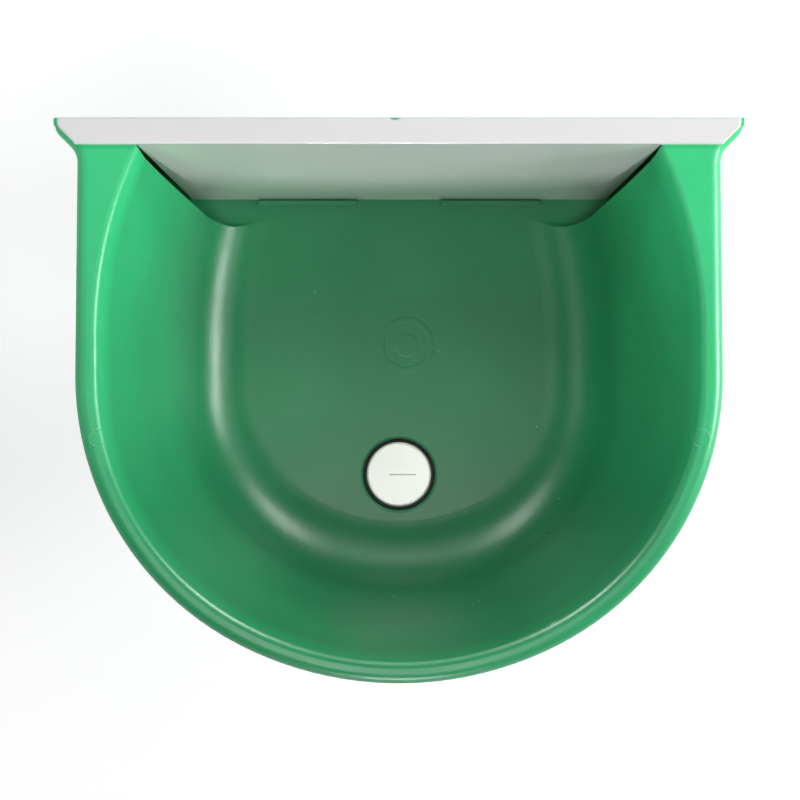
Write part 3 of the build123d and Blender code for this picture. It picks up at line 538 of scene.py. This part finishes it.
# ---------------------------------------------------------------- operators
class BOWL_OT_body(bpy.types.Operator):
    """Finish the moulded bowl and its mould marks"""

    bl_idname = "bowl.body"
    bl_label = "Bowl"

    def execute(self, context):
        settings = context.scene.bowl_settings
        # Painted shade on the bowl and its marks: darker towards the floor and towards the front.
        painted_shade_ramps = (("Z", BOWL_PAINTED_SHADE_BY_HEIGHT), ("Y", BOWL_PAINTED_SHADE_TO_FRONT))
        green = moulded_plastic("bowl_green", settings.green, 0.32, grain=0.08, painted_shade_ramps=painted_shade_ramps, specks=True)
        dress("bowl_body", green)
        marks = moulded_plastic("bowl_mark_green", settings.green, 0.32, painted_shade_ramps=painted_shade_ramps, rounded=False)
        for name, x in (("ejector_mark_left", -EJECTOR_X), ("ejector_mark_right", EJECTOR_X)):
            mesh = bmesh.new()
            ring = half_round(settings.mark_radius, EJECTOR_BEAD, EJECTOR_RISE)
            spun_ring(mesh, Vector((x, EJECTOR_Y, 0)), ring)
            lay_on(mesh, "bowl_body")
            finished(mesh, name, marks, BODY_OF["bowl_body"])
        gate = Vector((GATE_X, GATE_Y, 0))
        pad = bmesh.new()
        spun_ring(pad, gate, disc_profile(GATE_PAD_R, GATE_PAD_EDGE, GATE_PAD_RISE))
        lay_on(pad, "bowl_body")
        finished(pad, "gate_pad", marks, BODY_OF["bowl_body"], smooth=False)
        halo = bmesh.new()
        spun_ring(halo, gate, half_round(settings.gate_radius, GATE_HALO_BEAD, GATE_HALO_RISE))
        lay_on(halo, "bowl_body")
        finished(halo, "gate_halo", marks, BODY_OF["bowl_body"])
        return {"FINISHED"}


class BOWL_OT_cover(bpy.types.Operator):
    """Finish the lift-out cover"""

    bl_idname = "bowl.cover"
    bl_label = "Cover"

    def execute(self, context):
        settings = context.scene.cover_settings
        dress("valve_cover", moulded_plastic("cover_white", settings.white, 0.12, vary=0.02))
        return {"FINISHED"}


class BOWL_OT_drain(bpy.types.Operator):
    """Finish the drain plug, its ring and its gasket"""

    bl_idname = "bowl.drain"
    bl_label = "Drain"

    def execute(self, context):
        settings = context.scene.cover_settings
        white = moulded_plastic("plug_white", settings.plug_white, 0.4, vary=0.03)
        dress("drain_plug", white)
        mesh = bmesh.new()
        bmesh.ops.create_cube(mesh, size=1)
        bmesh.ops.scale(mesh, verts=mesh.verts, vec=PLUG_LINE_SIZE)
        bmesh.ops.bevel(
            mesh,
            geom=mesh.edges[:],
            offset=PLUG_LINE_ROUND,
            segments=2,
            profile=0.5,
            affect="EDGES",
            material=-1,
        )
        place = Vector((PLUG_LINE_X, (PLUG_LOW.y + PLUG_HIGH.y) / 2, PLUG_HIGH.z))
        bmesh.ops.translate(mesh, verts=mesh.verts, vec=place)
        finished(mesh, "plug_mould_line", white, BODY_OF["drain_plug"])
        seal = rubber("seal_rubber", (0.02, 0.02, 0.022))
        dress("drain_gasket", seal)
        dress("drain_ring", seal)
        return {"FINISHED"}


class BOWL_OT_valve(bpy.types.Operator):
    """Finish the float valve, its lever and its float"""

    bl_idname = "bowl.valve"
    bl_label = "Valve"

    def execute(self, context):
        cast = metal("valve_brass", (0.62, 0.42, 0.16), 0.34, cast=True)
        turned = metal("turned_brass", (0.70, 0.49, 0.20), 0.24, brush=(1, 1, 14))
        steel = metal("stainless", (0.62, 0.63, 0.64), 0.28, brush=(1, 1, 8))
        black = rubber("seal_black", (0.02, 0.02, 0.022))
        acetal = moulded_plastic("acetal", (0.72, 0.72, 0.69), 0.38, vary=0.02)
        dress("valve_body", cast)
        for node in ("inlet_nut", "valve_seat", "adjusting_screw"):
            dress(node, turned)
        for node in (
            "inlet_washer",
            "inlet_strainer",
            "float_screw_left",
            "float_screw_right",
            "adjusting_nut",
            "pivot_pin",
            "pivot_clip",
        ):
            dress(node, steel)
        for node in ("inlet_gasket", "plunger_pad", "plunger_seal"):
            dress(node, black)
        for node in ("float_lever", "plunger"):
            dress(node, acetal)
        dress("outlet_tube", moulded_plastic("outlet_black", (0.018, 0.018, 0.02), 0.4))
        grey = moulded_plastic("float_grey", (0.05, 0.055, 0.06), 0.55)
        dress("float_block", grey)
        self.tail_thread(turned)
        self.seams(cast, grey, acetal)
        return {"FINISHED"}

    def tail_thread(self, material):
        """The pipe thread's crests on the free end of the valve's tail."""
        middle = (NUT_LOW + NUT_HIGH) / 2
        centre = Vector((middle.x, middle.y, TAIL_LOW.z + THREAD_START))
        turns = (NUT_LOW.z - TAIL_LOW.z - THREAD_SHORT) / THREAD_PITCH
        mesh = bmesh.new()
        thread(mesh, centre, TAIL_R, THREAD_CREST, THREAD_PITCH, turns)
        finished(mesh, "tail_thread", material, BODY_OF["valve_body"])

    def seams(self, cast, grey, acetal):
        """Mould seams round the float, along the lever and up the valve's casting."""
        seat_low, seat_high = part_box("valve_seat")
        valve = (seat_low + seat_high) / 2
        low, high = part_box("float_block")
        middle = (low + high) / 2
        along = Vector((math.cos(LEVER_DROP), 0, math.sin(LEVER_DROP)))
        across = Vector((0, 1, 0))
        right = Vector((1, 0, 0))
        rows = (
            ("float_seam", "float_block", middle, across, grey, "float_plastic", None),
            ("float_end_seam", "float_block", middle, along, grey, "float_plastic", None),
            ("lever_seam", "float_lever", LEVER_MIDDLE, across, acetal, "lever_plastic", None),
            ("valve_seam", "valve_body", valve, right, cast, "valve_brass", VALVE_SEAM_SPAN),
        )
        for name, node, point, normal, material, slot, span in rows:
            mesh = seam_mesh(node, point, normal, SEAM_WIDTH)
            if span:
                keep_between(mesh, (0, 0, 1), *span)
            thicken(mesh, SEAM_STAND)
            finished(mesh, name, material, BODY_OF[node], smooth=False)


class BOWL_OT_stage(bpy.types.Operator):
    """Add the floor, the lamps and the camera"""

    bl_idname = "bowl.stage"
    bl_label = "Stage"

    def execute(self, context):
        settings = context.scene.stage_settings
        scene = context.scene
        scene.view_settings.view_transform = "Standard"
        self.camera(scene, settings)
        self.floor(settings)
        self.lamps()
        self.world(scene)
        return {"FINISHED"}

    def camera(self, scene, settings):
        """Straight above the bowl, turned a little towards its front."""
        below = Vector((0, CAMERA_Y, LID_TOP - LID_THICKNESS))
        aim = below + AIM_SHIFT
        lens = below + Vector((0, 0, settings.camera_height))
        data = bpy.data.cameras.new("camera")
        data.lens = settings.lens
        data.sensor_width = SENSOR_WIDTH
        data.clip_end = CLIP_END
        camera = linked("camera", data)
        back = (lens - aim).normalized()
        right = Vector((0, 1, 0)).cross(back).normalized()
        turned = Matrix((right, back.cross(right), back)).transposed().to_4x4()
        camera.matrix_world = Matrix.Translation(lens) @ turned
        scene.camera = camera

    def floor(self, settings):
        """A pale floor below the bowl, a little brighter to the camera."""
        mesh = bmesh.new()
        bmesh.ops.create_grid(mesh, x_segments=1, y_segments=1, size=FLOOR_HALF)
        bmesh.ops.translate(mesh, verts=mesh.verts, vec=(0, 0, cad_box[0][2] - settings.floor_gap))
        data = bpy.data.meshes.new("floor")
        mesh.to_mesh(data)
        mesh.free()
        floor = linked("floor", data)
        material, tree, shader = new_material("floor_pale")
        shader.inputs["Base Color"].default_value = (0.86, 0.86, 0.86, 1)
        shader.inputs["Roughness"].default_value = 0.9
        path = tree.nodes.new("ShaderNodeLightPath")
        glow = tree.nodes.new("ShaderNodeMath")
        glow.operation = "MULTIPLY"
        glow.inputs[1].default_value = FLOOR_GLOW
        tree.links.new(path.outputs["Is Camera Ray"], glow.inputs[0])
        shader.inputs["Emission Color"].default_value = (1, 1, 1, 1)
        tree.links.new(glow.outputs[0], shader.inputs["Emission Strength"])
        self.clear_from_below(tree, shader)
        data.materials.append(material)

    def clear_from_below(self, tree, shader):
        """The floor isn't there for a camera underneath it."""
        side = tree.nodes.new("ShaderNodeNewGeometry")
        clear = tree.nodes.new("ShaderNodeBsdfTransparent")
        mix = tree.nodes.new("ShaderNodeMixShader")
        output = next(n for n in tree.nodes if n.type == "OUTPUT_MATERIAL")
        tree.links.new(side.outputs["Backfacing"], mix.inputs["Fac"])
        tree.links.new(shader.outputs[0], mix.inputs[1])
        tree.links.new(clear.outputs[0], mix.inputs[2])
        tree.links.new(mix.outputs[0], output.inputs["Surface"])

    def lamps(self):
        for row in LAMPS:
            self.area(*row)
        for row in GLINTS:
            self.area(*row).visible_diffuse = False
        self.plug_lamp()

    def plug_lamp(self):
        """A narrow lamp overhead that covers the plug's end."""
        data = bpy.data.lights.new("plug_lamp", "SPOT")
        centre = (PLUG_LOW + PLUG_HIGH) / 2
        data.spot_size = 2 * math.atan(PLUG_BEAM_R / (LAMP_DISTANCE - PLUG_HIGH.z))
        data.spot_blend = 0.05
        data.shadow_soft_size = 0
        data.energy = PLUG_BEAM_WATTS
        lamp = linked("plug_lamp", data)
        lamp.location = (centre.x, centre.y, LAMP_DISTANCE)

    def area(self, name, turn, rise, size, power):
        """A square lamp that faces the bowl."""
        data = bpy.data.lights.new(name, "AREA")
        data.shape = "SQUARE"
        data.size = size
        data.energy = power
        lamp = linked(name, data)
        turn, rise = math.radians(turn), math.radians(rise)
        out = Vector((math.cos(turn) * math.cos(rise), math.sin(turn) * math.cos(rise), math.sin(rise)))
        lamp.location = LAMP_AIM + out * LAMP_DISTANCE
        lamp.rotation_euler = out.to_track_quat("Z", "Y").to_euler()
        lamp.visible_camera = False
        return lamp

    def world(self, scene):
        """White to the camera, through glass and to low reflections, and dim as light."""
        world = bpy.data.worlds.new("studio")
        world.use_nodes = True
        scene.world = world
        tree = world.node_tree
        back = tree.nodes["Background"]
        back.inputs["Color"].default_value = (1, 1, 1, 1)
        path = tree.nodes.new("ShaderNodeLightPath")
        place = tree.nodes.new("ShaderNodeTexCoord")
        height = tree.nodes.new("ShaderNodeSeparateXYZ")
        tree.links.new(place.outputs["Generated"], height.inputs[0])
        low = remap(tree, height.outputs["Z"], 0.0, HORIZON_SPREAD, 1.0, 0.0)
        shown = tree.nodes.new("ShaderNodeMath")
        shown.operation = "MULTIPLY_ADD"
        tree.links.new(path.outputs["Is Glossy Ray"], shown.inputs[0])
        tree.links.new(low, shown.inputs[1])
        tree.links.new(path.outputs["Is Camera Ray"], shown.inputs[2])
        through = tree.nodes.new("ShaderNodeMath")
        through.operation = "ADD"
        through.use_clamp = True
        tree.links.new(shown.outputs[0], through.inputs[0])
        tree.links.new(path.outputs["Is Transmission Ray"], through.inputs[1])
        level = remap(tree, through.outputs[0], 0.0, 1.0, WORLD_LEVEL, 1.0)
        tree.links.new(level, back.inputs["Strength"])


class BOWL_PT_panel(bpy.types.Panel):
    """Lists the bowl's settings and its pieces"""

    bl_idname = "BOWL_PT_panel"
    bl_label = "Drinking bowl"
    bl_space_type = "VIEW_3D"
    bl_region_type = "UI"
    bl_category = "Bowl"

    def draw(self, context):
        for group in ("bowl_settings", "cover_settings", "stage_settings"):
            settings = getattr(context.scene, group)
            for name in settings.bl_rna.properties.keys():
                if name not in {"rna_type", "name"}:
                    self.layout.prop(settings, name)
        for operator in OPERATORS:
            self.layout.operator(operator.bl_idname)


SETTINGS = {
    "bowl_settings": BowlSettings,
    "cover_settings": CoverSettings,
    "stage_settings": StageSettings,
}
OPERATORS = (BOWL_OT_body, BOWL_OT_cover, BOWL_OT_drain, BOWL_OT_valve, BOWL_OT_stage)


def register():
    for cls in (*SETTINGS.values(), *OPERATORS, BOWL_PT_panel):
        bpy.utils.register_class(cls)
    for name, group in SETTINGS.items():
        setattr(bpy.types.Scene, name, bpy.props.PointerProperty(type=group))


def unregister():
    for name in SETTINGS:
        delattr(bpy.types.Scene, name)
    for cls in reversed((*SETTINGS.values(), *OPERATORS, BOWL_PT_panel)):
        bpy.utils.unregister_class(cls)


def main():
    register()
    bpy.ops.bowl.stage()
    bpy.ops.bowl.body()
    bpy.ops.bowl.cover()
    bpy.ops.bowl.drain()
    bpy.ops.bowl.valve()


if __name__ == "__main__":
    main()
